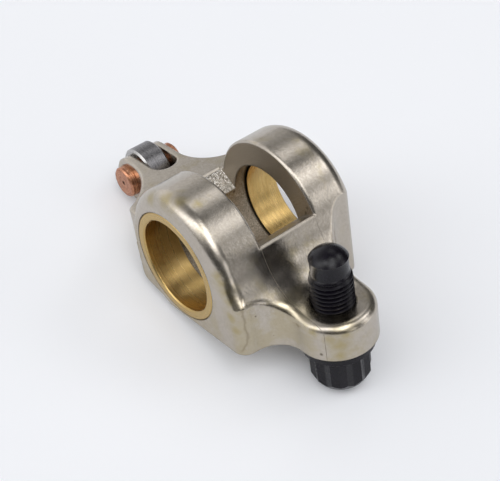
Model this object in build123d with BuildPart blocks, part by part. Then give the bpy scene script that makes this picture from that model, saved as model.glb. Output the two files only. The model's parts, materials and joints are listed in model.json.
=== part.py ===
"""Shaft-mounted roller rocker arm for a push-rod engine, resting bottom-up on a flat surface.

A cast steel body carries two press-fitted bronze bushes, a roller on a copper-plated pin in its
forked nose, and an adjusting screw held by a twelve-point flange nut.  The origin is the middle
of the shaft bore and +Y runs along the bore.  The arm lies on its roller and on the edge of its
nut, so everything is drawn on two planes tilted with it:

    side_view  X along the arm towards the screw, Y along the screw's axis
    plan_view  X along the arm towards the screw, Y along the bore, normal along the screw's axis

All sizes are in millimetres.
"""
import os
from math import asin, atan2, cos, hypot, radians, sin, tan

from build123d import *

os.makedirs("parts", exist_ok=True)

# ---- Shaft bore and bushes ----
shaft_radius = 11.11  # bore of the bushes, for a 7/8 inch shaft
bush_wall = 2.15
bush_length = 8.5
bush_edge_chamfer = 0.3
bore_relief = 0.6  # how much wider than the shaft the body is between the bushes

# ---- Barrel of the body ----
body_width = 38.1
barrel_wall = 4.14
barrel_shift = (1.0, 0.8)  # the barrel is cast thicker towards the screw and the window
front_edge_radius = 3.3
rear_edge_radius = 3.8
collar_wall = 2.24  # crisper ring round the bushes, set the other way
collar_shift = (-0.4, -0.2)
collar_edge_radius = 1.6
collar_floor = -8.0
underside_wall = 1.04  # metal under the bushes
underside_chamfer = 0.7
cast_edge_radius = 2.0  # upper edges of the web and the boss

# ---- Screw boss and the web that carries it ----
boss_reach = 29.7  # bore axis to screw axis
boss_radius = 9.1
boss_height = 9.5
boss_land = 1.5  # straight between the boss's round and the flare
flank_offset = 4.8  # how much closer to the bore it ends at the rear
flank_corner_radius = 3.2
flank_land = 0.15  # flat left between the corner and the flare
valley_radius = 14.0

# ---- Window over the bore ----
window_width = 15.0
window_sill_angle = 33.0  # slope of the wall on the screw's side
window_lip_angle = 37.0  # slope of the wall on the nose's side
window_root_height = -5.3  # where the two sloping walls would meet
window_lip_setback = 0.16  # barrel back to the lip's edge on top of the nose
window_edge_chamfer = 0.5

# ---- Nose and roller ----
nose_reach = 37.1  # bore axis back to the roller's axis
pin_height = -0.1
pin_radius = 3.87
pin_length = 15.4
pin_edge_chamfer = 0.4
punch_depth = 0.5
nose_front_reach = 5.7  # middle of the body to the nose's front flank
nose_rear_reach = 5.3
nose_radius = 5.4
nose_root_run = 3.3  # barrel back to where the flares meet the nose's widest part
nose_root_setback = 2.0  # of the nose's widest part from the end faces
nose_front_flare_run = 16.3  # length of the flares along the arm
nose_rear_flare_run = 10.3
nose_root_corner_radius = 2.6
nose_edge_chamfer = 0.4
belly_reach = 2.5  # where the flat underside starts to rise towards the nose
heel_setback = 0.8  # barrel back to the heel's flat
heel_radius = 3.0
roller_radius = 6.6
roller_width = 5.8
roller_edge_chamfer = 0.45
roller_side_clearance = 0.6
roller_end_clearance = 4.3
pin_clearance = 0.04  # radial, of the roller on its pin

# ---- Adjusting screw ----
thread_radius = 4.70
thread_clearance = 0.05  # radial, of the screw in the body and in the nut
thread_stand = 6.6  # thread showing above the boss
thread_end_chamfer = 0.5
neck_radius = 4.1
neck_length = 2.6
cone_length = 1.9
ball_radius = 4.25
ball_rim_height = 0.55
ball_crown = 2.35
socket_across_flats = 4.76
socket_depth = 5.0
screw_end_recess = 0.7

# ---- Lock nut ----
nut_seat_gap = 0.03
flange_radius = 8.2
flange_thickness = 1.5
flange_cone_length = 1.5
flange_edge_chamfer = 0.3
nut_height = 11.0
nut_point_radius = 6.75
nut_end_radius = 5.55
nut_end_taper = 1.9
nut_flute_radius = 0.9

# ---- Sizes that follow ----
bush_radius = shaft_radius + bush_wall
relief_radius = shaft_radius + bore_relief
half_width = body_width / 2
barrel_radius = bush_radius + barrel_wall
barrel_back = barrel_radius - barrel_shift[0]
collar_radius = bush_radius + collar_wall
underside_depth = bush_radius + underside_wall
boss_top_depth = underside_depth - boss_height
flare_radius = half_width - boss_radius - flank_corner_radius - flank_land
front_flank_reach = boss_reach - flare_radius - boss_land
rear_flank_reach = front_flank_reach - flank_offset
nose_root_reach = barrel_back + nose_root_run
nose_root_width = body_width - 2 * nose_root_setback
heel_reach = barrel_back - heel_setback
thread_top = thread_stand - boss_top_depth
screw_hole_radius = thread_radius + thread_clearance
nose_top = pin_height + nose_radius
nose_tip_reach = nose_reach + nose_radius
nut_top = -underside_depth - nut_seat_gap
nut_bottom = nut_top - nut_height
slot_width = roller_width + 2 * roller_side_clearance
slot_end = nose_reach - roller_radius - roller_end_clearance
belly_run = nose_reach - belly_reach
belly_rise = pin_height + underside_depth
belly_angle = atan2(belly_rise, belly_run) - asin(nose_radius / hypot(belly_run, belly_rise))
heel_height = (heel_reach - belly_reach) * tan(belly_angle) - underside_depth

# Blanks and cuts are drawn this far, well past the body, and then trimmed by it.
overrun = 3 * barrel_radius
tolerance = 0.01  # for telling lengths and places apart

window_lip_reach = barrel_back + window_lip_setback
window_root_run = (nose_top - window_root_height) / tan(radians(window_lip_angle))
window_root = (window_root_run - window_lip_reach, window_root_height)
window_top = window_root_height + overrun
window_sill_end = (window_root[0] + overrun / tan(radians(window_sill_angle)), window_top)
window_lip_end = (window_root[0] - overrun / tan(radians(window_lip_angle)), window_top)

# The floor touches the roller and the near edge of the nut's end face.
nut_edge_reach = boss_reach - nut_end_radius
rest_run = nose_reach + nut_edge_reach
rest_rise = pin_height - nut_bottom
rest_tilt = atan2(rest_rise, rest_run) - asin(roller_radius / hypot(rest_rise, rest_run))

along_arm = (cos(rest_tilt), 0, sin(rest_tilt))
along_screw = (-sin(rest_tilt), 0, cos(rest_tilt))
plan_view = Plane(origin=(0, 0, 0), x_dir=along_arm, z_dir=along_screw)
side_view = Plane(origin=(0, 0, 0), x_dir=along_arm, z_dir=(0, -1, 0))
front_face = Plane(origin=(0, -half_width, 0), x_dir=along_arm, z_dir=(0, -1, 0))
rear_face = Plane(origin=(0, half_width, 0), x_dir=along_arm, z_dir=(0, 1, 0))


def plan_at(height):
    """The plan view, moved along the screw's axis."""
    return plan_view.offset(height)


def local(shape, plane):
    """The centre of a shape in a plane's own coordinates."""
    return plane.to_local_coords(shape.center())


def close_to(value, target):
    """Whether two lengths agree."""
    return abs(value - target) < tolerance


def on_flank(vertex):
    """Whether a corner of the plan is where the full width ends."""
    return close_to(vertex.X, front_flank_reach) or close_to(vertex.X, rear_flank_reach)


def on_top_rim(edge):
    """Whether an edge of the blank runs round its top, along the barrel, the valley or the boss."""
    return edge.geom_type != GeomType.LINE and local(edge, plan_view).Z > -boss_top_depth - tolerance


def on_soft_edge(edge):
    """Whether an edge of a barrel end runs over the boss, the valley and the barrel, or down behind it."""
    at = local(edge, side_view)
    return at.Y > -boss_top_depth - tolerance or close_to(at.X, -barrel_back)


def valley_corner(vertices):
    """The corner of a side view where the barrel meets the top of the boss."""
    return vertices.filter_by(lambda v: close_to(v.Y, -boss_top_depth)).sort_by(Axis.X)[0]


def on_underside(face):
    """Whether a face is the flat underside."""
    return close_to(local(face, plan_view).Z, -underside_depth)


def on_heel_rim(edge):
    """Whether an edge of the heel is on one of the end faces and outside the barrel."""
    at = local(edge, side_view)
    return close_to(abs(at.Z), half_width) and at.X < -belly_reach and at.Y < 0


def on_window_rim(edge):
    """Whether an edge is one of those the window cuts in the outside of the body."""
    at = local(edge, side_view)
    if edge.geom_type == GeomType.LINE:
        across = close_to(edge.length, window_width) and close_to(at.Z, 0)
        return across and hypot(at.X, at.Y) > (bush_radius + barrel_radius) / 2
    if edge.geom_type == GeomType.CIRCLE:
        return close_to(edge.radius, barrel_radius) and close_to(abs(at.Z), window_width / 2)
    return False


def on_nose_flank(edge):
    """Whether an edge of the nose runs along one of its sides, clear of its root."""
    at = local(edge, plan_view)
    return at.X < -nose_root_reach and abs(at.Y) > roller_width / 2 and not is_upright(edge)


def on_roller_rim(edge):
    """Whether a circle is one of the roller's outer edges."""
    return close_to(edge.radius, roller_radius)


def is_upright(edge):
    """Whether an edge runs straight along the screw's axis."""
    direction = edge.tangent_at(0).dot(Vector(along_screw))
    return edge.geom_type == GeomType.LINE and close_to(abs(direction), 1)


def on_nut_point(vertex):
    """Whether a corner of the nut's plan is the tip of one of its points."""
    return close_to(hypot(vertex.X - boss_reach, vertex.Y), nut_point_radius)


# ---- Side view of the barrel, the valley behind it and the boss ----
with BuildSketch(side_view) as profile:
    with Locations(barrel_shift):
        Circle(barrel_radius)
    with Locations((0, -underside_depth)):
        Rectangle(overrun, boss_height, align=(Align.MIN, Align.MIN))
        Rectangle(overrun, overrun, align=(Align.CENTER, Align.MAX), mode=Mode.SUBTRACT)
    fillet(valley_corner(profile.vertices()), valley_radius)

# ---- Plan of the body: full width at the barrel, flaring in to the round boss ----
with BuildSketch(plan_at(-underside_depth)) as outline:
    Rectangle(2 * barrel_radius, body_width, align=(Align.MAX, Align.CENTER))
    Rectangle(front_flank_reach, half_width, align=(Align.MIN, Align.MAX))
    Rectangle(rear_flank_reach, half_width, align=(Align.MIN, Align.MIN))
    Rectangle(boss_reach, 2 * boss_radius, align=(Align.MIN, Align.CENTER))
    with Locations((boss_reach, 0)):
        Circle(boss_radius)
    flank_corners = [v for v in outline.vertices() if on_flank(v)]
    fillet([v for v in flank_corners if close_to(abs(v.Y), boss_radius)], flare_radius)
    flank_corners = [v for v in outline.vertices() if on_flank(v)]
    fillet([v for v in flank_corners if close_to(abs(v.Y), half_width)], flank_corner_radius)

# ---- The plan carried up past the barrel, with its lower edges broken ----
with BuildPart() as footprint:
    extrude(outline.sketch, amount=overrun)
    underside = footprint.faces().filter_by(on_underside)
    chamfer(underside.edges(), underside_chamfer)

# ---- The barrel's soft outer edges, on a side view that is carried straight down past the underside ----
with BuildPart() as soft_barrel:
    with BuildSketch(side_view) as silhouette:
        with Locations(barrel_shift):
            Circle(barrel_radius)
            Rectangle(barrel_radius, overrun, align=(Align.MAX, Align.MAX))
        with Locations((0, -boss_top_depth)):
            Rectangle(overrun, overrun, align=(Align.MIN, Align.MAX))
        fillet(valley_corner(silhouette.vertices()), valley_radius)
    extrude(amount=half_width, both=True)
    front_end, rear_end = soft_barrel.faces().filter_by(Axis.Y).sort_by(Axis.Y)
    fillet(front_end.edges().filter_by(on_soft_edge), front_edge_radius)
    fillet(rear_end.edges().filter_by(on_soft_edge), rear_edge_radius)

# ---- Collar: the side of the barrel away from the screw has less rounded edges ----
with BuildPart() as collar:
    with BuildSketch(side_view):
        with Locations(collar_shift):
            Circle(collar_radius)
    extrude(amount=half_width, both=True)
    fillet(collar.edges().filter_by(GeomType.CIRCLE), collar_edge_radius)
    split(bisect_by=plan_at(collar_floor), keep=Keep.TOP)

# ---- Heel: the full-width foot of the barrel on the nose's side ----
with BuildPart() as heel:
    with BuildSketch(side_view) as heel_section:
        Polygon(
            (-heel_reach, 0),
            (-heel_reach, heel_height),
            (-belly_reach, -underside_depth),
            (-belly_reach, 0),
            align=None,
        )
        fillet([v for v in heel_section.vertices() if close_to(v.Y, heel_height)], heel_radius)
    extrude(amount=half_width, both=True)
    chamfer(heel.edges().filter_by(on_heel_rim), underside_chamfer)

# ---- Nose: a fork in plan that flares out to the barrel, rounded round the roller's pin ----
with BuildPart() as nose:
    with BuildSketch(side_view):
        with Locations((-nose_reach, pin_height)):
            Circle(nose_radius)
        Polygon((-belly_reach, -underside_depth), (0, -underside_depth), (0, nose_top), align=None)
        make_hull()
    extrude(amount=nose_root_width / 2, both=True)
    with BuildSketch(plan_at(-underside_depth)) as nose_outline:
        front_tip = (-nose_tip_reach, -nose_front_reach)
        front_flare = (-nose_root_reach - nose_front_flare_run, -nose_front_reach)
        front_root = (-nose_root_reach, -nose_root_width / 2)
        rear_tip = (-nose_tip_reach, nose_rear_reach)
        rear_flare = (-nose_root_reach - nose_rear_flare_run, nose_rear_reach)
        rear_root = (-nose_root_reach, nose_root_width / 2)
        with BuildLine():
            TangentArc(front_flare, front_root, tangent=(1, 0))
            Polyline(front_root, (0, front_root[1]), (0, rear_root[1]), rear_root)
            TangentArc(rear_flare, rear_root, tangent=(1, 0))
            Polyline(rear_flare, rear_tip, front_tip, front_flare)
        make_face()
        root_corners = [v for v in nose_outline.vertices() if close_to(v.X, -nose_root_reach)]
        fillet(root_corners, nose_root_corner_radius)
    extrude(amount=overrun, mode=Mode.INTERSECT)
    chamfer(nose.edges().filter_by(on_nose_flank), nose_edge_chamfer)

# ---- Body: one casting, bored for the shaft and cut away over the middle of the bore ----
with BuildPart() as rocker_body:
    extrude(profile.sketch, amount=half_width, both=True)
    add(footprint.part, mode=Mode.INTERSECT)
    fillet(rocker_body.edges().filter_by(on_top_rim), cast_edge_radius)
    add(soft_barrel.part, mode=Mode.INTERSECT)
    add([collar.part, heel.part, nose.part])
    with BuildSketch(side_view):
        Polygon(window_root, window_sill_end, window_lip_end, align=None)
    extrude(amount=window_width / 2, both=True, mode=Mode.SUBTRACT)
    chamfer(rocker_body.edges().filter_by(on_window_rim), window_edge_chamfer)
    for end_face in (front_face, rear_face):
        with Locations(end_face):
            CounterBoreHole(relief_radius, bush_radius, bush_length)
    with BuildSketch(plan_at(-underside_depth)) as fork_slot:
        with Locations((-slot_end - slot_width / 2, 0)):
            Circle(slot_width / 2)
            Rectangle(nose_reach, slot_width, align=(Align.MAX, Align.CENTER))
    extrude(amount=overrun, mode=Mode.SUBTRACT)
    with BuildSketch(side_view):
        with Locations((-nose_reach, pin_height)):
            Circle(pin_radius)
    extrude(amount=nose_root_width / 2, both=True, mode=Mode.SUBTRACT)
    with BuildSketch(plan_at(-underside_depth)):
        with Locations((boss_reach, 0)):
            Circle(screw_hole_radius)
    extrude(amount=underside_depth, mode=Mode.SUBTRACT)
rocker_body.part.label = "rocker_body"
export_step(rocker_body.part, "parts/rocker_body.step")

# ---- Bushes: flanked by the body's faces, one at each end of the bore ----
with BuildPart() as front_bush:
    with BuildSketch(front_face):
        Circle(bush_radius)
        Circle(shaft_radius, mode=Mode.SUBTRACT)
    extrude(amount=-bush_length)
    chamfer(front_bush.faces().sort_by(Axis.Y)[0].edges(), bush_edge_chamfer)
front_bush.part.label = "front_bush"
export_step(front_bush.part, "parts/front_bush.step")

with BuildPart() as rear_bush:
    mirror(front_bush.part, about=Plane.XZ)
rear_bush.part.label = "rear_bush"
export_step(rear_bush.part, "parts/rear_bush.step")

# ---- Roller pin: turned, with rounded ends, each marked by the centre punch that fixed it ----
pin_axis = Axis(side_view.from_local_coords((-nose_reach, pin_height)), (0, 1, 0))
pin_view = Plane(origin=pin_axis.position, x_dir=(0, 1, 0), z_dir=along_arm)
with BuildPart() as roller_pin:
    with BuildSketch(pin_view) as pin_section:
        with BuildLine():
            Polyline(
                (punch_depth - pin_length / 2, 0),
                (-pin_length / 2, punch_depth),
                (-pin_length / 2, pin_radius),
                (pin_length / 2, pin_radius),
                (pin_length / 2, punch_depth),
                (pin_length / 2 - punch_depth, 0),
                close=True,
            )
        make_face()
        chamfer([v for v in pin_section.vertices() if close_to(v.Y, pin_radius)], pin_edge_chamfer)
    revolve(axis=pin_axis)
roller_pin.part.label = "roller_pin"
export_step(roller_pin.part, "parts/roller_pin.step")

# ---- Roller ----
with BuildPart() as roller:
    with BuildSketch(side_view):
        with Locations((-nose_reach, pin_height)):
            Circle(roller_radius)
            Circle(pin_radius + pin_clearance, mode=Mode.SUBTRACT)
    extrude(amount=roller_width / 2, both=True)
    chamfer(roller.edges().filter_by(GeomType.CIRCLE).filter_by(on_roller_rim), roller_edge_chamfer)
roller.part.label = "roller"
export_step(roller.part, "parts/roller.step")

# ---- Adjusting screw: a plain shank for the thread, a waisted neck and a domed ball end ----
screw_foot = side_view.from_local_coords((boss_reach, 0))
screw_axis = Axis(screw_foot, along_screw)
screw_view = Plane(origin=screw_foot, x_dir=along_arm, z_dir=(0, -1, 0))
screw_bottom = nut_bottom + screw_end_recess
cone_top = thread_top + cone_length
neck_top = cone_top + neck_length
ball_rim = neck_top + ball_rim_height
ball_top = ball_rim + ball_crown
crown_radius = (ball_radius**2 + ball_crown**2) / (2 * ball_crown)
with BuildPart() as adjusting_screw:
    with BuildSketch(screw_view) as screw_section:
        with BuildLine():
            Polyline(
                (0, ball_top),
                (0, screw_bottom),
                (thread_radius - thread_end_chamfer, screw_bottom),
                (thread_radius, screw_bottom + thread_end_chamfer),
                (thread_radius, thread_top),
                (neck_radius, cone_top),
                (neck_radius, neck_top),
                (ball_radius, ball_rim),
            )
            RadiusArc((ball_radius, ball_rim), (0, ball_top), -crown_radius)
        make_face()
    revolve(axis=screw_axis)
    with BuildSketch(plan_at(screw_bottom)):
        with Locations((boss_reach, 0)):
            RegularPolygon(socket_across_flats / 2, 6, major_radius=False)
    extrude(amount=socket_depth, mode=Mode.SUBTRACT)
adjusting_screw.part.label = "adjusting_screw"
export_step(adjusting_screw.part, "parts/adjusting_screw.step")

# ---- Lock nut: twelve points from two hexagons, tapered at the end, under a round flange ----
with BuildPart() as lock_nut:
    with BuildSketch(plan_at(nut_bottom)) as points:
        with Locations((boss_reach, 0)):
            RegularPolygon(nut_point_radius, 6)
            RegularPolygon(nut_point_radius, 6, rotation=30)
        flutes = [v for v in points.vertices() if not on_nut_point(v)]
        fillet(flutes, nut_flute_radius)
    extrude(amount=nut_height)
    with BuildSketch(screw_view):
        Polygon(
            (0, nut_bottom),
            (nut_end_radius, nut_bottom),
            (nut_point_radius, nut_bottom + nut_end_taper),
            (nut_point_radius, nut_top),
            (0, nut_top),
            align=None,
        )
    revolve(axis=screw_axis, mode=Mode.INTERSECT)
    with BuildSketch(screw_view):
        Polygon(
            (0, nut_top),
            (flange_radius - flange_edge_chamfer, nut_top),
            (flange_radius, nut_top - flange_edge_chamfer),
            (flange_radius, nut_top - flange_thickness),
            (nut_point_radius, nut_top - flange_thickness - flange_cone_length),
            (0, nut_top - flange_thickness - flange_cone_length),
            align=None,
        )
    revolve(axis=screw_axis)
    with BuildSketch(plan_at(nut_bottom)):
        with Locations((boss_reach, 0)):
            Circle(screw_hole_radius)
    extrude(amount=nut_height, mode=Mode.SUBTRACT)
lock_nut.part.label = "lock_nut"
export_step(lock_nut.part, "parts/lock_nut.step")
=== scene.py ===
"""Finishes, screw thread, floor, light and camera for a shaft-mounted roller rocker arm."""
import json
import math

import bmesh
import bpy
from mathutils import Matrix, Vector


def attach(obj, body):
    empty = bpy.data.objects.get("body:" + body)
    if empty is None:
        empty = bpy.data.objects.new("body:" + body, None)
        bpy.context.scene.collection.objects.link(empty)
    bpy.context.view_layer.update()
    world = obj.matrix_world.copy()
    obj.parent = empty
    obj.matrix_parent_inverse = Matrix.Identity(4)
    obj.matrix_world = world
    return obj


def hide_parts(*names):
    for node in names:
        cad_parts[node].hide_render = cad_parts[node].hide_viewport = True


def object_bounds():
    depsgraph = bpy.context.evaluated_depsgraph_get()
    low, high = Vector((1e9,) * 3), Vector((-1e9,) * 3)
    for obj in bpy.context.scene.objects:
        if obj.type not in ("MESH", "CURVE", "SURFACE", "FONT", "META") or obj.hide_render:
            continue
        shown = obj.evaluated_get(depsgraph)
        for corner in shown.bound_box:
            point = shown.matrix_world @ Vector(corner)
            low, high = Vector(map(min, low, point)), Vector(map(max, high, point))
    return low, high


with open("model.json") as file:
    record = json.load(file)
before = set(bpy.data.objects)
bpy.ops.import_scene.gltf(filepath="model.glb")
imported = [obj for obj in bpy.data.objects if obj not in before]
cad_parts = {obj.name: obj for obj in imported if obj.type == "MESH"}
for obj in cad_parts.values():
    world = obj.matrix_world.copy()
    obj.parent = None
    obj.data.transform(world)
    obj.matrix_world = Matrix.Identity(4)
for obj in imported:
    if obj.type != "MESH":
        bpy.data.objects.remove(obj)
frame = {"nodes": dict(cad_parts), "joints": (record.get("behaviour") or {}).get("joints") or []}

MM = 0.001
case_low, case_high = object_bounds()

# ---- The arm's own axes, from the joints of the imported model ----
joints = {joint["name"]: joint for joint in frame["joints"]}
along_screw = Vector(joints["screw_travel"]["axis"]).normalized()
along_bore = Vector((0.0, 1.0, 0.0))
along_arm = along_bore.cross(along_screw)
tilt = math.atan2(along_arm.z, along_arm.x)
boss_reach = Vector(joints["lock_nut_turn"]["pos_m"]).dot(along_arm)
pin_centre = Vector(joints["roller_spin"]["pos_m"])
pin_axis = (pin_centre.dot(along_arm) / MM, pin_centre.dot(along_screw) / MM)

# ---- Sizes, in millimetres along those axes, and angles ----
shaft_radius = 11.11
bush_radius = 13.26
bush_inner_end = 10.55
roller_edge = (2.43, 2.47)
window_half_width = 7.5
window_root = (-2.493, -5.3)
window_lip_angle = math.radians(37.0)
window_sill_angle = math.radians(33.0)
screw_bottom = -24.63
thread_end = 3.7
thread_radius = 4.70
root_radius = 4.10
thread_pitch = 1.058
thread_chamfer = 0.6
thread_fade = 1.9
# One turn of the thread: how far up the pitch each corner lies, and 1 where it is on the crest
corner_rise = (0.0, 0.125, 0.4375, 0.6875)
corner_crest = (1.0, 1.0, 0.0, 0.0)
neck_top = 6.3
ball_radius = 4.25
ball_rim = 6.85
ball_top = 9.2
socket_half_width = 2.38
socket_depth = 5.0
socket_point = 0.9
socket_mouth = 2.95
socket_lead = 0.35
dome_steps = 14
around = 96
thread_weld = 0.001
screw_weld = 0.002
sharp_angle = math.radians(32)
# How far to either side of a face its mask reaches, and how far the masks run into the walls
face_skin = 0.03
side_margin = 0.02
bore_margin = 0.05
end_margin = 0.07
edge_samples = 6


# ---- Nodes ----
def put(tree, kind, inputs=(), **settings):
    """Adds a node, sets it up and feeds its sockets."""
    made = tree.nodes.new(kind)
    for name, value in settings.items():
        setattr(made, name, value)
    for name, value in dict(inputs).items():
        if isinstance(value, bpy.types.NodeSocket):
            tree.links.new(value, made.inputs[name])
        else:
            made.inputs[name].default_value = value
    return made


def reckon(tree, operation, *values):
    """A calculation on one, two or three numbers."""
    return put(tree, "ShaderNodeMath", dict(enumerate(values)), operation=operation).outputs[0]


def reckon_vector(tree, operation, *values):
    """A calculation on places or directions."""
    return put(tree, "ShaderNodeVectorMath", dict(enumerate(values)), operation=operation).outputs


class Finish:
    """A metal finish: a Principled material with patterns in millimetres along the arm's axes."""

    def __init__(self, name, colour, metallic, roughness):
        self.material = bpy.data.materials.new(name)
        self.material.use_nodes = True
        self.tree = self.material.node_tree
        self.shader = self.tree.nodes["Principled BSDF"]
        self.shader.inputs["Base Color"].default_value = (*colour, 1.0)
        self.shader.inputs["Metallic"].default_value = metallic
        self.shader.inputs["Roughness"].default_value = roughness
        place = put(self.tree, "ShaderNodeTexCoord").outputs["Object"]
        self.place = put(
            self.tree,
            "ShaderNodeMapping",
            {"Vector": place, "Rotation": (0.0, tilt, 0.0), "Scale": (1 / MM,) * 3},
        ).outputs["Vector"]
        parts = put(self.tree, "ShaderNodeSeparateXYZ", {"Vector": self.place})
        self.x, self.y, self.z = parts.outputs

    def reckon(self, operation, *values):
        """A calculation on one, two or three numbers."""
        return reckon(self.tree, operation, *values)

    def plus(self, first, second):
        """The sum of two numbers."""
        return self.reckon("ADD", first, second)

    def minus(self, first, second):
        """The first number less the second."""
        return self.reckon("SUBTRACT", first, second)

    def times(self, first, second):
        """The product of two numbers."""
        return self.reckon("MULTIPLY", first, second)

    def within(self, value, reach):
        """1 where a number lies nearer to nought than the reach."""
        return self.reckon("LESS_THAN", self.reckon("ABSOLUTE", value), reach)

    def fade(self, value, start, end, low=0.0, high=1.0):
        """A smooth step of a value from low to high."""
        return put(
            self.tree,
            "ShaderNodeMapRange",
            {"Value": value, 1: start, 2: end, 3: low, 4: high},
            interpolation_type="SMOOTHSTEP",
        ).outputs[0]

    def grain(self, size, detail, roughness, at=None):
        """A noise texture whose grains are about so many millimetres across."""
        where = at or self.place
        return put(
            self.tree,
            "ShaderNodeTexNoise",
            {"Vector": where, "Scale": 1.0 / size, "Detail": detail, "Roughness": roughness},
        ).outputs

    def noise(self, size, detail=3.0, roughness=0.5, at=None):
        """Noise as one number."""
        return self.grain(size, detail, roughness, at)["Fac"]

    def shaken(self, reach, size):
        """The place, pushed about by noise, so that what is drawn there gets a ragged edge."""
        push = self.grain(size, 3.0, 0.6)["Color"]
        push = reckon_vector(self.tree, "SUBTRACT", push, (0.5,) * 3)[0]
        return reckon_vector(self.tree, "MULTIPLY_ADD", push, (2.0 * reach,) * 3, self.place)[0]

    def near(self, spots, at, core=0.3):
        """How near the surface is to any of these spots: x, y, z and radius."""
        total = None
        for x, y, z, radius in spots:
            apart = reckon_vector(self.tree, "DISTANCE", at, (x, y, z))["Value"]
            mark = self.fade(apart, radius, core * radius)
            total = mark if total is None else self.reckon("MAXIMUM", total, mark)
        return total

    def specks(self, spacing, size, keep):
        """Scattered small pits: one to a cell, and only in some of the cells."""
        ragged = self.shaken(0.5 * size, size)
        cells = put(
            self.tree, "ShaderNodeTexVoronoi", {"Vector": ragged, "Scale": 1.0 / spacing}
        ).outputs
        draw = put(self.tree, "ShaderNodeSeparateColor", {"Color": cells["Color"]}).outputs[0]
        chosen = self.reckon("GREATER_THAN", draw, 1.0 - keep)
        spot = self.fade(cells["Distance"], size / spacing, 0.4 * size / spacing)
        return self.times(spot, chosen)

    def off_axis(self, x=0.0, z=0.0):
        """The distance from an axis across the arm, which is the bore's if no place is given."""
        off = reckon_vector(self.tree, "SUBTRACT", self.place, (x, 0.0, z))[0]
        flat = reckon_vector(self.tree, "MULTIPLY", off, (1.0, 0.0, 1.0))[0]
        return reckon_vector(self.tree, "LENGTH", flat)["Value"]

    def lathe_place(self, reach):
        """The place that lathe marks follow, the same all the way round an axis."""
        return put(self.tree, "ShaderNodeCombineXYZ", {0: reach, 1: self.y}).outputs[0]

    def blend(self, amount, first, second):
        """Mixes two colours, each a socket or its red, green and blue."""
        first, second = [
            colour if isinstance(colour, bpy.types.NodeSocket) else (*colour, 1.0)
            for colour in (first, second)
        ]
        mixed = put(self.tree, "ShaderNodeMix", {0: amount, 6: first, 7: second}, data_type="RGBA")
        return mixed.outputs[2]

    def feed(self, name, value):
        """Drives one socket of the shader."""
        self.tree.links.new(value, self.shader.inputs[name])

    def bump(self, height, softened=0.0):
        """Raises the surface by a height pattern, in millimetres, and softens its edges."""
        made = put(self.tree, "ShaderNodeBump", {"Height": height, "Distance": MM, "Strength": 1.0})
        if softened:
            edge = put(self.tree, "ShaderNodeBevel", {"Radius": softened * MM}, samples=edge_samples)
            self.tree.links.new(edge.outputs[0], made.inputs["Normal"])
        self.feed("Normal", made.outputs[0])


# Straw heat tint, dark marks, and darker patches in the window's inner corners, on the casting:
# x, y, z and radius in millimetres along the arm, across it and up the screw
straw_tint = (
    (16.2, -18.5, 5.7, 2.2), (17.1, -18.2, 4.2, 2.4), (17.8, -18.3, 2.2, 2.6),
    (18.9, -18.1, 0.2, 2.6), (19.1, -19.0, -3.4, 2.6), (19.9, -18.7, -6.7, 3.0),
    (37.0, -5.4, -9.3, 3.8), (35.8, -6.8, -7.8, 2.6), (36.9, -5.5, -12.1, 3.0),
    (32.5, -8.6, -6.4, 2.2), (37.7, -4.3, -6.9, 2.2), (28.5, -10.6, -4.6, 3.0),
    (-4.8, -18.5, 15.7, 2.4), (0.5, -17.8, 17.4, 3.0), (4.1, -16.4, 17.8, 2.6),
    (6.9, -14.1, 17.2, 2.0),
)
dark_marks = (
    (33.87, -8.09, -11.95, 0.5), (21.7, -14.58, -4.42, 0.3), (22.95, -11.71, -10.9, 0.16),
    (12.1, -18.9, 7.9, 0.2), (2.1, 12.3, 17.5, 0.22), (27.4, -10.2, -2.3, 0.18),
)
window_dark_patches = (
    (14.9, 7.5, 8.0, 0.6), (14.2, 7.5, 6.3, 0.7), (13.6, 7.5, 9.9, 0.4),
    (16.2, 5.9, 6.9, 0.5), (16.0, -6.6, 6.6, 0.5), (-11.8, 6.9, 0.9, 0.6),
)


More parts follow.
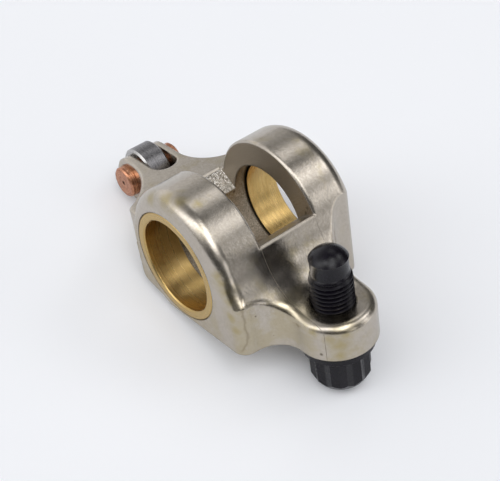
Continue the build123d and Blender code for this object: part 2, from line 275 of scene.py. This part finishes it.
def cast_steel():
    """Bead-blasted steel with a warm nickel tone, straw tint, marks, sandy cut faces, darker patches
    in the window's corners and a painted highlight on the window's lip.
    """
    f = Finish("satin_cast_steel", (0.53, 0.475, 0.405), 1.0, 0.3)
    # Masks: the window's two cut faces, its side walls and the bore
    root_x, root_z = f.minus(f.x, window_root[0]), f.minus(f.z, window_root[1])
    lip = f.plus(
        f.times(root_x, math.sin(window_lip_angle)),
        f.times(root_z, math.cos(window_lip_angle)),
    )
    sill = f.minus(
        f.times(root_x, math.sin(window_sill_angle)),
        f.times(root_z, math.cos(window_sill_angle)),
    )
    across = f.reckon("ABSOLUTE", f.y)
    between = f.reckon("LESS_THAN", across, window_half_width + side_margin)
    on_lip = f.times(f.within(lip, face_skin), between)
    on_sill = f.times(f.within(sill, face_skin), between)
    in_bore = f.reckon("LESS_THAN", f.off_axis(), bush_radius + face_skin)
    wall = f.within(f.minus(across, window_half_width), face_skin)
    inside = f.times(wall, f.reckon("GREATER_THAN", lip, 0.0))
    cut = f.reckon("MAXIMUM", f.reckon("MAXIMUM", on_sill, in_bore), inside)

    # Colours, each over the ones before it
    dark_nickel, nickel = (0.50, 0.447, 0.378), (0.555, 0.50, 0.43)
    pale_nickel = (0.59, 0.535, 0.465)
    straw, crease_brown, pit_brown = (0.46, 0.385, 0.215), (0.20, 0.15, 0.08), (0.15, 0.125, 0.09)
    mark_brown, patch_dark_brown = (0.11, 0.085, 0.06), (0.05, 0.04, 0.03)
    dark_sand, pale_sand = (0.13, 0.108, 0.08), (0.50, 0.44, 0.36)
    # Colours of the window's lip: a painted highlight, from dull to bright
    dull_lip_highlight, bright_lip_highlight = (0.40, 0.36, 0.30), (0.95, 0.91, 0.85)
    cloud = f.noise(7.0, 4.0, 0.6)
    mottle = f.noise(0.7, 3.0, 0.65)
    tone = f.blend(f.fade(cloud, 0.35, 0.7), dark_nickel, nickel)
    tone = f.blend(f.fade(mottle, 0.3, 0.72), tone, pale_nickel)
    tint = f.near(straw_tint, f.shaken(0.9, 1.6), 0.0)
    tint = f.times(tint, f.fade(f.noise(1.4, 4.0, 0.7), 0.2, 0.7, 0.6, 1.0))
    low_side = f.times(f.fade(f.z, 6.0, -8.0), f.fade(f.y, 4.0, -8.0))
    drift = f.reckon("MULTIPLY_ADD", low_side, 0.15, f.noise(6.0, 5.0, 0.62))
    drift = f.fade(drift, 0.5, 0.75, 0.0, 0.5)
    tone = f.blend(f.reckon("MAXIMUM", tint, drift), tone, straw)

    # The crease down the front flank: a leaning line that bends below its knee
    lean_x, lean_y, knee, bend = 0.6, 0.8, -9.9, 0.6
    crease = f.plus(f.times(f.x, lean_x), f.times(f.y, lean_y))
    crease = f.plus(crease, f.times(f.reckon("MAXIMUM", f.minus(knee, f.z), 0.0), bend))
    crease = f.plus(crease, f.fade(f.noise(2.2, 3.0, 0.6), 0.2, 0.8, 0.75, 1.35))
    crease = f.fade(f.reckon("ABSOLUTE", crease), 0.5, 0.0)
    crease = f.times(crease, f.fade(f.y, -13.0, -15.0))
    crease = f.times(crease, f.times(f.fade(f.z, 1.5, 0.3), f.fade(f.z, -13.2, -12.2)))
    tone = f.blend(f.times(crease, 0.42), tone, crease_brown)

    tone = f.blend(f.specks(3.4, 0.13, 0.3), tone, pit_brown)
    tone = f.blend(f.times(f.near(dark_marks, f.shaken(0.12, 0.3)), 0.8), tone, mark_brown)
    sandy = f.blend(f.fade(f.noise(0.25, 3.0, 0.75), 0.3, 0.7), dark_sand, pale_sand)
    tone = f.blend(cut, tone, sandy)
    # Darker patches in the window's inner corners, where the sill meets the side walls
    window_patches = f.near(window_dark_patches, f.shaken(0.5, 0.7), 0.0)
    tone = f.blend(f.times(window_patches, 0.85), tone, patch_dark_brown)
    # The window's lip: real milled grain, with a painted highlight in pale speckles where the cut
    # face catches the light
    painted_lip_highlight = f.blend(f.fade(f.noise(0.5, 3.0, 0.8), 0.38, 0.62), dull_lip_highlight, bright_lip_highlight)
    tone = f.blend(on_lip, tone, painted_lip_highlight)
    f.feed("Base Color", tone)
    dull = f.fade(f.noise(2.5, 4.0, 0.6), 0.3, 0.7, 0.18, 0.25)
    f.feed("Roughness", f.plus(dull, f.times(cut, 0.2)))

    # Relief
    fine = f.noise(0.14, 2.0, 0.6)
    peel = f.noise(1.6, 3.0, 0.5)
    blast = f.noise(0.55, 2.0, 0.6)
    height = f.plus(f.times(fine, 0.006), f.times(peel, 0.02))
    height = f.reckon("MULTIPLY_ADD", blast, 0.012, height)
    scraped = f.plus(f.times(cut, 0.08), f.times(on_lip, 0.32))
    height = f.plus(height, f.times(f.noise(0.5, 3.0, 0.75), scraped))
    f.bump(f.minus(height, f.times(crease, 0.02)), softened=0.7)
    return f.material


def bronze():
    """Turned bush metal: fine lines round the bore, a dull face, a dark edge and dark pits."""
    f = Finish("turned_bronze", (0.72, 0.50, 0.21), 1.0, 0.3)
    from_axis = f.off_axis()
    round_bore = f.lathe_place(from_axis)
    in_bore = f.reckon("LESS_THAN", from_axis, shaft_radius + bore_margin)
    lines = f.noise(0.10, 3.0, 0.65, at=round_bore)
    bands = f.noise(0.9, 2.0, 0.5, at=round_bore)
    cloud = f.noise(3.0, 4.0, 0.6)
    dark_bronze, pale_bronze = (0.66, 0.45, 0.17), (0.82, 0.575, 0.24)
    line_brown = (0.38, 0.24, 0.07)
    dark_face, pale_face = (0.50, 0.35, 0.13), (0.68, 0.48, 0.20)
    rim_brown, shadow, pit_brown = (0.06, 0.045, 0.025), (0.015, 0.012, 0.01), (0.09, 0.055, 0.02)
    tone = f.blend(f.fade(cloud, 0.3, 0.7), dark_bronze, pale_bronze)
    tone = f.blend(f.fade(lines, 0.3, 0.7), f.blend(0.45, tone, line_brown), tone)
    face = f.blend(f.noise(0.25, 3.0, 0.7), dark_face, pale_face)
    tone = f.blend(in_bore, face, tone)
    outer = f.fade(from_axis, bush_radius - 0.14, bush_radius - 0.04)
    tone = f.blend(f.times(outer, 0.8), tone, rim_brown)
    inner_end = f.times(
        f.within(f.y, bush_inner_end + end_margin),
        f.reckon("GREATER_THAN", from_axis, shaft_radius + bore_margin),
    )
    tone = f.blend(inner_end, tone, shadow)
    tone = f.blend(f.specks(2.2, 0.14, 0.45), tone, pit_brown)
    f.feed("Base Color", tone)
    f.feed("Roughness", f.fade(bands, 0.3, 0.7, 0.22, 0.34))
    f.bump(f.plus(f.times(lines, 0.014), f.times(cloud, 0.02)), softened=0.2)
    return f.material


def copper_plate():
    """Copper over a turned and punched pin, with a red bloom."""
    f = Finish("copper_plate", (0.56, 0.25, 0.14), 1.0, 0.28)
    reach = f.off_axis(*pin_axis)
    rings = f.noise(0.22, 3.0, 0.6, at=f.lathe_place(reach))
    cloud = f.noise(1.3, 4.0, 0.65)
    red_bloom, copper, bright_ring = (0.24, 0.06, 0.025), (0.52, 0.215, 0.11), (0.66, 0.34, 0.21)
    pit_brown, punch_brown = (0.10, 0.035, 0.025), (0.10, 0.05, 0.035)
    tone = f.blend(f.fade(cloud, 0.35, 0.65), red_bloom, copper)
    tone = f.blend(f.fade(rings, 0.62, 0.4), tone, bright_ring)
    tone = f.blend(f.specks(0.9, 0.10, 0.35), tone, pit_brown)
    tone = f.blend(f.fade(reach, 0.75, 0.35), tone, punch_brown)
    f.feed("Base Color", tone)
    f.feed("Roughness", f.fade(f.noise(0.8, 3.0), 0.3, 0.7, 0.2, 0.38))
    f.bump(f.plus(f.times(rings, 0.04), f.times(cloud, 0.03)), softened=0.3)
    return f.material


def ground_steel():
    """Dark hardened steel, ground round the roller, with bright edges."""
    f = Finish("ground_steel", (0.20, 0.20, 0.21), 1.0, 0.26)
    lines = f.noise(0.07, 3.0, 0.6, at=f.lathe_place(f.off_axis(*pin_axis)))
    mottle = f.noise(0.45, 3.0, 0.7)
    edge = f.fade(f.reckon("ABSOLUTE", f.y), *roller_edge)
    dark_steel, mid_steel = (0.10, 0.098, 0.108), (0.23, 0.223, 0.232)
    line_grey, edge_grey = (0.33, 0.32, 0.32), (0.52, 0.51, 0.50)
    tone = f.blend(f.fade(mottle, 0.3, 0.7), dark_steel, mid_steel)
    tone = f.blend(f.fade(lines, 0.3, 0.75), tone, line_grey)
    tone = f.blend(edge, tone, edge_grey)
    f.feed("Base Color", tone)
    f.feed("Roughness", f.fade(f.noise(0.5, 3.0), 0.3, 0.7, 0.24, 0.36))
    f.bump(f.plus(f.times(lines, 0.01), f.times(mottle, 0.01)))
    return f.material


def black_oxide(name, sheen_low, sheen_high):
    """Blackened steel with a soft, slightly uneven gloss."""
    f = Finish(name, (0.012, 0.011, 0.014), 0.0, 0.3)
    f.shader.inputs["Specular IOR Level"].default_value = 0.32
    deep_black, soft_black = (0.0025, 0.0018, 0.0035), (0.006, 0.0046, 0.009)
    tone = f.blend(f.fade(f.noise(0.9, 4.0, 0.6), 0.3, 0.7), deep_black, soft_black)
    f.feed("Base Color", tone)
    f.feed("Roughness", f.fade(f.noise(1.2, 4.0, 0.6), 0.3, 0.7, sheen_low, sheen_high))
    f.bump(f.times(f.noise(0.16), 0.012))
    return f.material


# ---- The adjusting screw: a wound thread, and a turned neck, ball end and socket ----
def thread_winder():
    """Geometry Nodes that wind a thread up the Z axis, with its ends run out to the root."""
    tree = bpy.data.node_groups.new("thread_winder", "GeometryNodeTree")
    tree.interface.new_socket("Geometry", in_out="OUTPUT", socket_type="NodeSocketGeometry")
    for name in ("Outer radius", "Root radius", "Pitch", "Bottom", "Top", "Chamfer", "Run-out"):
        tree.interface.new_socket(name, in_out="INPUT", socket_type="NodeSocketFloat")
    for name in ("Turns", "Steps round"):
        tree.interface.new_socket(name, in_out="INPUT", socket_type="NodeSocketInt")
    tree.interface.new_socket("Finish", in_out="INPUT", socket_type="NodeSocketMaterial")
    given = put(tree, "NodeGroupInput").outputs

    def count(operation, *values):
        return reckon(tree, operation, *values)

    def pick(index, values):
        made = put(tree, "GeometryNodeIndexSwitch", data_type="FLOAT")
        while len(made.index_switch_items) < len(values):
            made.index_switch_items.new()
        tree.links.new(index, made.inputs[0])
        for socket, value in zip(made.inputs[1:], values):
            socket.default_value = value
        return made.outputs[0]

    corners = float(len(corner_rise))
    rows = count("MULTIPLY", given["Turns"], corners)
    sheet = put(
        tree,
        "GeometryNodeMeshGrid",
        {
            "Size X": 1.0,
            "Size Y": rows,
            "Vertices X": count("ADD", given["Steps round"], 1.0),
            "Vertices Y": count("ADD", rows, 1.0),
        },
    ).outputs["Mesh"]
    position = put(tree, "GeometryNodeInputPosition").outputs[0]
    spot = put(tree, "ShaderNodeSeparateXYZ", {0: position}).outputs
    lap = count("ADD", spot[0], 0.5)
    row = count("ROUND", count("ADD", spot[1], count("MULTIPLY", rows, 0.5)))
    corner = count("MODULO", row, corners)
    turn = count("FLOOR", count("DIVIDE", count("ADD", row, 0.5), corners))
    climb = count("ADD", turn, pick(corner, corner_rise))
    climb = count("ADD", climb, count("SUBTRACT", lap, 1.0))
    height = count("ADD", given["Bottom"], count("MULTIPLY", climb, given["Pitch"]))
    height = count("MINIMUM", count("MAXIMUM", height, given["Bottom"]), given["Top"])
    depth = count("SUBTRACT", given["Outer radius"], given["Root radius"])
    radius = count("MULTIPLY", depth, pick(corner, corner_crest))
    radius = count("ADD", given["Root radius"], radius)
    at_bottom = count("DIVIDE", count("SUBTRACT", height, given["Bottom"]), given["Chamfer"])
    at_top = count("DIVIDE", count("SUBTRACT", given["Top"], height), given["Run-out"])
    limit = count("MULTIPLY", depth, count("MINIMUM", at_bottom, at_top))
    limit = count("ADD", given["Root radius"], limit)
    radius = count("MINIMUM", radius, limit)
    angle = count("MULTIPLY", lap, 2 * math.pi)
    wound = put(
        tree,
        "ShaderNodeCombineXYZ",
        {
            0: count("MULTIPLY", radius, count("COSINE", angle)),
            1: count("MULTIPLY", radius, count("SINE", angle)),
            2: height,
        },
    ).outputs[0]
    shape = put(tree, "GeometryNodeSetPosition", {"Geometry": sheet, "Position": wound}).outputs[0]
    weld = {"Geometry": shape, "Distance": thread_weld}
    shape = put(tree, "GeometryNodeMergeByDistance", weld).outputs[0]
    shape = put(tree, "GeometryNodeRealizeInstances", {"Geometry": shape}).outputs[0]
    coat = {"Geometry": shape, "Material": given["Finish"]}
    shape = put(tree, "GeometryNodeSetMaterial", coat).outputs[0]
    put(tree, "NodeGroupOutput", {"Geometry": shape})
    return tree


def wound_thread(finish):
    """The threaded shank as a plain mesh, in millimetres along Z."""
    carrier = bpy.data.objects.new("thread_carrier", bpy.data.meshes.new("thread_carrier"))
    bpy.context.scene.collection.objects.link(carrier)
    winder = carrier.modifiers.new("thread", "NODES")
    winder.node_group = thread_winder()
    values = {
        "Outer radius": thread_radius,
        "Root radius": root_radius,
        "Pitch": thread_pitch,
        "Bottom": screw_bottom,
        "Top": thread_end,
        "Chamfer": thread_chamfer,
        "Run-out": thread_fade,
        "Turns": math.ceil((thread_end - screw_bottom) / thread_pitch) + 2,
        "Steps round": around,
        "Finish": finish,
    }
    for item in winder.node_group.interface.items_tree:
        if item.in_out == "INPUT":
            winder[item.identifier] = values[item.name]
    bpy.context.view_layer.update()
    finished = carrier.evaluated_get(bpy.context.evaluated_depsgraph_get())
    shank = bpy.data.meshes.new_from_object(finished)
    carrier.modifiers.remove(winder)
    bpy.data.objects.remove(carrier)
    return shank


def turn_on_lathe(shape, profile):
    """Adds a turned surface; each station is a radius, a height and whether it is a hexagon."""
    last = None
    for radius, height, hexagonal in profile:
        if radius == 0.0:
            ring = [shape.verts.new((0.0, 0.0, height))] * around
        else:
            ring = []
            for step in range(around):
                angle = 2 * math.pi * step / around
                reach = radius
                if hexagonal:
                    reach /= math.cos((angle + math.pi / 6) % (math.pi / 3) - math.pi / 6)
                place = (reach * math.cos(angle), reach * math.sin(angle), height)
                ring.append(shape.verts.new(place))
        if last:
            for step in range(around):
                after = (step + 1) % around
                corners = (last[step], last[after], ring[after], ring[step])
                shape.faces.new(list(dict.fromkeys(corners)))
        last = ring


def adjusting_screw(finish):
    """The whole screw, placed in the arm and riding with it."""
    shape = bmesh.new()
    shape.from_mesh(wound_thread(finish))
    socket_end = screw_bottom + socket_depth
    foot = [
        (0.0, socket_end + socket_point, True),
        (socket_half_width, socket_end, True),
        (socket_half_width, screw_bottom + socket_lead, True),
        (socket_mouth, screw_bottom, False),
        (root_radius, screw_bottom, False),
    ]
    rise = ball_top - ball_rim
    crown_radius = (ball_radius**2 + rise**2) / (2 * rise)
    crown_centre = ball_top - crown_radius
    widest = math.asin(ball_radius / crown_radius)
    dome = [
        (crown_radius * math.sin(bow), crown_centre + crown_radius * math.cos(bow), False)
        for bow in [widest * (1 - step / dome_steps) for step in range(dome_steps)]
    ]
    neck = [(root_radius, thread_end, False), (root_radius, neck_top, False)]
    crown = neck + dome + [(0.0, ball_top, False)]
    turn_on_lathe(shape, foot)
    turn_on_lathe(shape, crown)
    bmesh.ops.remove_doubles(shape, verts=shape.verts, dist=screw_weld)
    bmesh.ops.recalc_face_normals(shape, faces=shape.faces)
    place = Matrix.Identity(4)
    for column, direction in enumerate((along_arm, along_bore, along_screw)):
        for row in range(3):
            place[row][column] = direction[row] * MM
    place.translation = along_arm * boss_reach
    shape.transform(place)
    mesh = bpy.data.meshes.new("threaded_screw")
    shape.to_mesh(mesh)
    shape.free()
    mesh.materials.clear()
    mesh.materials.append(finish)
    mesh.shade_smooth()
    mesh.set_sharp_from_angle(angle=sharp_angle)
    screw = bpy.data.objects.new("threaded_screw", mesh)
    bpy.context.scene.collection.objects.link(screw)
    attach(screw, "screw")
    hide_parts("adjusting_screw")


screw_black = black_oxide("screw_black_oxide", 0.15, 0.30)
nut_black = black_oxide("nut_black_oxide", 0.17, 0.32)
adjusting_screw(screw_black)
finishes = {
    "rocker_body": cast_steel(),
    "roller_pin": copper_plate(),
    "roller": ground_steel(),
    "lock_nut": nut_black,
}
finishes["front_bush"] = finishes["rear_bush"] = bronze()
for node, finish in finishes.items():
    for slot in frame["nodes"][node].material_slots:
        slot.material = finish


# ---- Floor, light and camera ----
# Lamps: the way each is seen from the arm in degrees, how tight it is and how bright
soft_lamps = (
    (330, 60, 24, 2.23), (270, 60, 60, 1.70), (255, 40, 24, 1.30), (240, 20, 24, 0.92),
    (0, 80, 60, 2.04), (75, 50, 60, 1.70), (42, 60, 60, 0.70), (45, 30, 60, 1.20),
    (45, 0, 24, 1.02), (135, 50, 60, 0.80), (0, 20, 60, 0.94), (165, 10, 24, 0.28),
    (195, 10, 4, 0.54),
)
lamp_level = 1.57
room_light = 0.07
lamp_colour = (0.985, 0.99, 1.0, 1.0)
backdrop_colour = (0.87, 0.88, 0.91, 1.0)
floor_reach = 3.0
floor_lit = (0.80, 0.81, 0.84, 1.0)
floor_seen = (0.955, 0.965, 0.995, 1.0)
camera_place = (0.12177934, -0.11028360, 0.18738051)
camera_turn = (40.50245175, -2.79910767, 50.42212119)
camera_lens = 79.96069


def floor():
    """A wide pale floor under the arm's lowest point, a shade paler where it is seen."""
    shape = bmesh.new()
    bmesh.ops.create_grid(shape, x_segments=1, y_segments=1, size=floor_reach)
    mesh = bpy.data.meshes.new("floor")
    shape.to_mesh(mesh)
    shape.free()
    paper = bpy.data.materials.new("white_floor")
    paper.use_nodes = True
    tree = paper.node_tree
    shader = tree.nodes["Principled BSDF"]
    seen = put(tree, "ShaderNodeLightPath").outputs["Is Camera Ray"]
    colour = put(tree, "ShaderNodeMix", {0: seen, 6: floor_lit, 7: floor_seen}, data_type="RGBA")
    tree.links.new(colour.outputs[2], shader.inputs["Base Color"])
    shader.inputs["Roughness"].default_value = 1.0
    shader.inputs["Specular IOR Level"].default_value = 0.0
    mesh.materials.append(paper)
    made = bpy.data.objects.new("floor", mesh)
    made.location.z = case_low.z
    bpy.context.scene.collection.objects.link(made)


def towards(azimuth, elevation):
    """A direction, from its angles in degrees round from +X and up from the floor."""
    round_, up = math.radians(azimuth), math.radians(elevation)
    flat = math.cos(up)
    return Vector((flat * math.cos(round_), flat * math.sin(round_), math.sin(up)))


def room():
    """A dim room with soft round lamps in it, and a pale backdrop where the camera sees it."""
    world = bpy.data.worlds.new("pale_room")
    bpy.context.scene.world = world
    world.use_nodes = True
    tree = world.node_tree
    tree.nodes.clear()
    way = put(tree, "ShaderNodeTexCoord").outputs["Generated"]
    level = room_light
    for azimuth, elevation, sharpness, brightness in soft_lamps:
        facing = reckon_vector(tree, "DOT_PRODUCT", way, towards(azimuth, elevation))["Value"]
        falloff = reckon(tree, "MULTIPLY_ADD", facing, sharpness, -sharpness)
        glow = reckon(tree, "EXPONENT", falloff)
        level = reckon(tree, "MULTIPLY_ADD", glow, brightness * lamp_level, level)
    ray = put(tree, "ShaderNodeLightPath").outputs["Is Camera Ray"]
    light = put(tree, "ShaderNodeBackground", {"Color": lamp_colour, "Strength": level})
    seen = put(tree, "ShaderNodeBackground", {"Color": backdrop_colour, "Strength": 1.0})
    both = put(tree, "ShaderNodeMixShader", {0: ray, 1: light.outputs[0], 2: seen.outputs[0]})
    put(tree, "ShaderNodeOutputWorld", {"Surface": both.outputs[0]})


def camera():
    """The camera, above the screw's end and to the front."""
    data = bpy.data.cameras.new("camera")
    data.lens = camera_lens
    data.sensor_width = 36.0
    data.clip_start = 0.01
    made = bpy.data.objects.new("camera", data)
    made.location = camera_place
    made.rotation_euler = [math.radians(turn) for turn in camera_turn]
    bpy.context.scene.collection.objects.link(made)
    bpy.context.scene.camera = made


floor()
room()
camera()
bpy.context.scene.view_settings.view_transform = "Standard"
